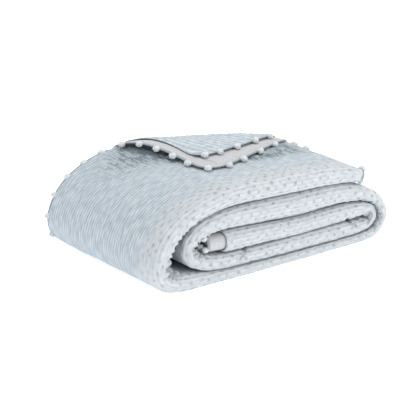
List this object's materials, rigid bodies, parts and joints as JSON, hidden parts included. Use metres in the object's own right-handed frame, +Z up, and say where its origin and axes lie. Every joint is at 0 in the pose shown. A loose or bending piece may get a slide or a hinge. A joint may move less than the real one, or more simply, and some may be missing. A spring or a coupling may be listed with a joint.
{
  "type": "folded quilt",
  "caption": "Padded quilt with running-stitch rows and a pompom trim, folded lengthwise, rolled into a flat package and laid down with one corner turned over.",
  "frame": {"origin": "middle of the folded package's bounding box, on the surface it lies on", "axes": "+X along the rolled strip toward its loose end, +Y from the folded front to the free edges at the back, +Z up"},
  "size_m": [0.5462, 0.3316, 0.1916],
  "materials": {
    "stitched_cotton": "matte washed cotton with rows of running stitch",
    "pompom_trim": "soft cotton yarn pompoms on a narrow woven tape"
  },
  "bodies": {
    "root": {"quilt": "stitched_cotton", "trim_back": "pompom_trim", "trim_turned": "pompom_trim", "trim_turned_upper": "pompom_trim", "trim_end_outer": "pompom_trim", "trim_end_middle": "pompom_trim", "trim_inner": "pompom_trim"}
  },
  "joints": []
}
